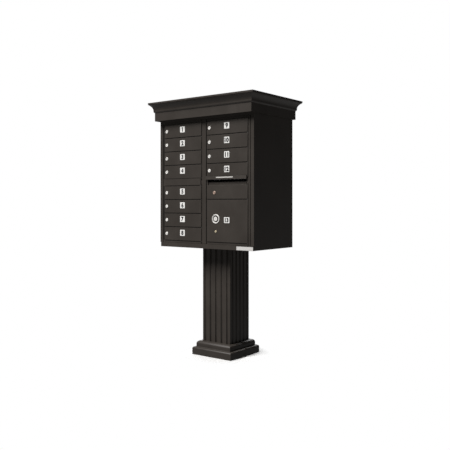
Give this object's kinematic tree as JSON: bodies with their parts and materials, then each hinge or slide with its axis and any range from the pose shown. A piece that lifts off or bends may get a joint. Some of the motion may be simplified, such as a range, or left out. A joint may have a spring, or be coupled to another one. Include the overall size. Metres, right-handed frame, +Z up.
{
  "type": "cluster mailbox unit",
  "caption": "Pillar-mounted cluster mailbox cabinet with moulded cap, hinged numbered tenant doors, outgoing mail slot and door, parcel door and turning locks.",
  "frame": {"origin": "centre of the anchor-bolt rectangle, on the ground under the pedestal's foot plate", "axes": "+X to the right seen from the front, -Y out of the doors, +Z up"},
  "size_m": [0.876, 0.5806, 1.701],
  "materials": {
    "bronze_paint": "dark bronze powder coat, fine texture",
    "galvanised": "galvanised steel",
    "mill_aluminium": "mill",
    "zinc_steel": "zinc plated",
    "nickel": "satin nickel",
    "brass_lock": "satin",
    "copper_lock": "satin, copper toned",
    "plate_aluminium": "satin anodised, blank"
  },
  "bodies": {
    "cabinet": {"pedestal": "galvanised", "cabinet_bolts": "zinc_steel", "pillar_cover_front": "bronze_paint", "pillar_cover_rear": "bronze_paint", "base_moulding_front": "bronze_paint", "base_moulding_rear": "bronze_paint", "crown_cap": "bronze_paint", "cap_bolts": "zinc_steel", "side_panel_left": "bronze_paint", "side_panel_right": "bronze_paint", "back_panel": "bronze_paint", "top_panel": "bronze_paint", "bottom_panel": "bronze_paint", "corner_post_left": "bronze_paint", "corner_post_right": "bronze_paint", "sill_rail": "bronze_paint", "header_rail": "bronze_paint", "nameplate": "plate_aluminium", "divider": "mill_aluminium", "shelves_left": "mill_aluminium", "shelves_right": "mill_aluminium", "master_hinge_pins": "zinc_steel"},
    "left_master": {"left_master_door": "bronze_paint", "hinge_rods_left": "zinc_steel"},
    "right_master": {"right_master_door": "bronze_paint", "hinge_rods_right": "zinc_steel", "mail_hood": "bronze_paint", "mail_chute": "bronze_paint", "hood_label": "plate_aluminium"},
    "outgoing_door": {"outgoing_door": "bronze_paint"},
    "outgoing_lock": {"outgoing_lock": "copper_lock"},
    "parcel_door": {"parcel_door": "bronze_paint", "parcel_lock_housing": "nickel"},
    "parcel_lock_plug": {"parcel_lock_plug": "nickel"},
    "control_lock": {"control_lock": "brass_lock"},
    "master_latch": {"master_latch": "zinc_steel"},
    "door_1": {"door_1": "bronze_paint"},
    "lock_1": {"lock_1": "nickel"},
    "door_2": {"door_2": "bronze_paint"},
    "lock_2": {"lock_2": "nickel"},
    "door_3": {"door_3": "bronze_paint"},
    "lock_3": {"lock_3": "nickel"},
    "door_4": {"door_4": "bronze_paint"},
    "lock_4": {"lock_4": "nickel"},
    "door_5": {"door_5": "bronze_paint"},
    "lock_5": {"lock_5": "nickel"},
    "door_6": {"door_6": "bronze_paint"},
    "lock_6": {"lock_6": "nickel"},
    "door_7": {"door_7": "bronze_paint"},
    "lock_7": {"lock_7": "nickel"},
    "door_8": {"door_8": "bronze_paint"},
    "lock_8": {"lock_8": "nickel"},
    "door_9": {"door_9": "bronze_paint"},
    "lock_9": {"lock_9": "nickel"},
    "door_10": {"door_10": "bronze_paint"},
    "lock_10": {"lock_10": "nickel"},
    "door_11": {"door_11": "bronze_paint"},
    "lock_11": {"lock_11": "nickel"},
    "door_12": {"door_12": "bronze_paint"},
    "lock_12": {"lock_12": "nickel"}
  },
  "joints": [
    {"name": "left_master_hinge", "type": "hinge", "parent": "cabinet", "child": "left_master", "pos_m": [-0.359, -0.2245, 1.158], "axis": [0, 0, -1], "range_deg": [0, 94]},
    {"name": "right_master_hinge", "type": "hinge", "parent": "cabinet", "child": "right_master", "pos_m": [0.359, -0.2245, 1.158], "axis": [0, 0, 1], "range_deg": [0, 94]},
    {"name": "master_latch_slide", "type": "slide", "parent": "right_master", "child": "master_latch", "axis": [-1, 0, 0], "range_m": [0, 0.03]},
    {"name": "outgoing_door_hinge", "type": "hinge", "parent": "right_master", "child": "outgoing_door", "pos_m": [0.3476, -0.2318, 1.0885], "axis": [0, 0, 1], "range_deg": [0, 94]},
    {"name": "outgoing_lock_turn", "type": "hinge", "parent": "outgoing_door", "child": "outgoing_lock", "pos_m": [0.087, -0.2342, 1.085], "axis": [0, -1, 0], "range_deg": [0, 90]},
    {"name": "parcel_door_hinge", "type": "hinge", "parent": "right_master", "child": "parcel_door", "pos_m": [0.3476, -0.2318, 0.9045], "axis": [0, 0, 1], "range_deg": [0, 94]},
    {"name": "parcel_lock_turn", "type": "hinge", "parent": "parcel_door", "child": "parcel_lock_plug", "pos_m": [0.099, -0.2342, 0.917], "axis": [0, -1, 0], "range_deg": [0, 90]},
    {"name": "control_lock_turn", "type": "hinge", "parent": "parcel_door", "child": "control_lock", "pos_m": [0.098, -0.2342, 0.836], "axis": [0, 1, 0], "range_deg": [0, 90]},
    {"name": "door_1_hinge", "type": "hinge", "parent": "left_master", "child": "door_1", "pos_m": [-0.0254, -0.2318, 1.5035], "axis": [0, 0, 1], "range_deg": [0, 94]},
    {"name": "lock_1_turn", "type": "hinge", "parent": "door_1", "child": "lock_1", "pos_m": [-0.327, -0.2342, 1.5035], "axis": [0, -1, 0], "range_deg": [0, 90]},
    {"name": "door_2_hinge", "type": "hinge", "parent": "left_master", "child": "door_2", "pos_m": [-0.0254, -0.2318, 1.4115], "axis": [0, 0, 1], "range_deg": [0, 94]},
    {"name": "lock_2_turn", "type": "hinge", "parent": "door_2", "child": "lock_2", "pos_m": [-0.327, -0.2342, 1.4115], "axis": [0, -1, 0], "range_deg": [0, 90]},
    {"name": "door_3_hinge", "type": "hinge", "parent": "left_master", "child": "door_3", "pos_m": [-0.0254, -0.2318, 1.3195], "axis": [0, 0, 1], "range_deg": [0, 94]},
    {"name": "lock_3_turn", "type": "hinge", "parent": "door_3", "child": "lock_3", "pos_m": [-0.327, -0.2342, 1.3195], "axis": [0, -1, 0], "range_deg": [0, 90]},
    {"name": "door_4_hinge", "type": "hinge", "parent": "left_master", "child": "door_4", "pos_m": [-0.0254, -0.2318, 1.2275], "axis": [0, 0, 1], "range_deg": [0, 94]},
    {"name": "lock_4_turn", "type": "hinge", "parent": "door_4", "child": "lock_4", "pos_m": [-0.327, -0.2342, 1.2275], "axis": [0, -1, 0], "range_deg": [0, 90]},
    {"name": "door_5_hinge", "type": "hinge", "parent": "left_master", "child": "door_5", "pos_m": [-0.0254, -0.2318, 1.0885], "axis": [0, 0, 1], "range_deg": [0, 94]},
    {"name": "lock_5_turn", "type": "hinge", "parent": "door_5", "child": "lock_5", "pos_m": [-0.327, -0.2342, 1.0885], "axis": [0, -1, 0], "range_deg": [0, 90]},
    {"name": "door_6_hinge", "type": "hinge", "parent": "left_master", "child": "door_6", "pos_m": [-0.0254, -0.2318, 0.9965], "axis": [0, 0, 1], "range_deg": [0, 94]},
    {"name": "lock_6_turn", "type": "hinge", "parent": "door_6", "child": "lock_6", "pos_m": [-0.327, -0.2342, 0.9965], "axis": [0, -1, 0], "range_deg": [0, 90]},
    {"name": "door_7_hinge", "type": "hinge", "parent": "left_master", "child": "door_7", "pos_m": [-0.0254, -0.2318, 0.9045], "axis": [0, 0, 1], "range_deg": [0, 94]},
    {"name": "lock_7_turn", "type": "hinge", "parent": "door_7", "child": "lock_7", "pos_m": [-0.327, -0.2342, 0.9045], "axis": [0, -1, 0], "range_deg": [0, 90]},
    {"name": "door_8_hinge", "type": "hinge", "parent": "left_master", "child": "door_8", "pos_m": [-0.0254, -0.2318, 0.8125], "axis": [0, 0, 1], "range_deg": [0, 94]},
    {"name": "lock_8_turn", "type": "hinge", "parent": "door_8", "child": "lock_8", "pos_m": [-0.327, -0.2342, 0.8125], "axis": [0, -1, 0], "range_deg": [0, 90]},
    {"name": "door_9_hinge", "type": "hinge", "parent": "right_master", "child": "door_9", "pos_m": [0.3476, -0.2318, 1.5035], "axis": [0, 0, 1], "range_deg": [0, 94]},
    {"name": "lock_9_turn", "type": "hinge", "parent": "door_9", "child": "lock_9", "pos_m": [0.046, -0.2342, 1.5035], "axis": [0, -1, 0], "range_deg": [0, 90]},
    {"name": "door_10_hinge", "type": "hinge", "parent": "right_master", "child": "door_10", "pos_m": [0.3476, -0.2318, 1.4115], "axis": [0, 0, 1], "range_deg": [0, 94]},
    {"name": "lock_10_turn", "type": "hinge", "parent": "door_10", "child": "lock_10", "pos_m": [0.046, -0.2342, 1.4115], "axis": [0, -1, 0], "range_deg": [0, 90]},
    {"name": "door_11_hinge", "type": "hinge", "parent": "right_master", "child": "door_11", "pos_m": [0.3476, -0.2318, 1.3195], "axis": [0, 0, 1], "range_deg": [0, 94]},
    {"name": "lock_11_turn", "type": "hinge", "parent": "door_11", "child": "lock_11", "pos_m": [0.046, -0.2342, 1.3195], "axis": [0, -1, 0], "range_deg": [0, 90]},
    {"name": "door_12_hinge", "type": "hinge", "parent": "right_master", "child": "door_12", "pos_m": [0.3476, -0.2318, 1.2275], "axis": [0, 0, 1], "range_deg": [0, 94]},
    {"name": "lock_12_turn", "type": "hinge", "parent": "door_12", "child": "lock_12", "pos_m": [0.046, -0.2342, 1.2275], "axis": [0, -1, 0], "range_deg": [0, 90]}
  ]
}
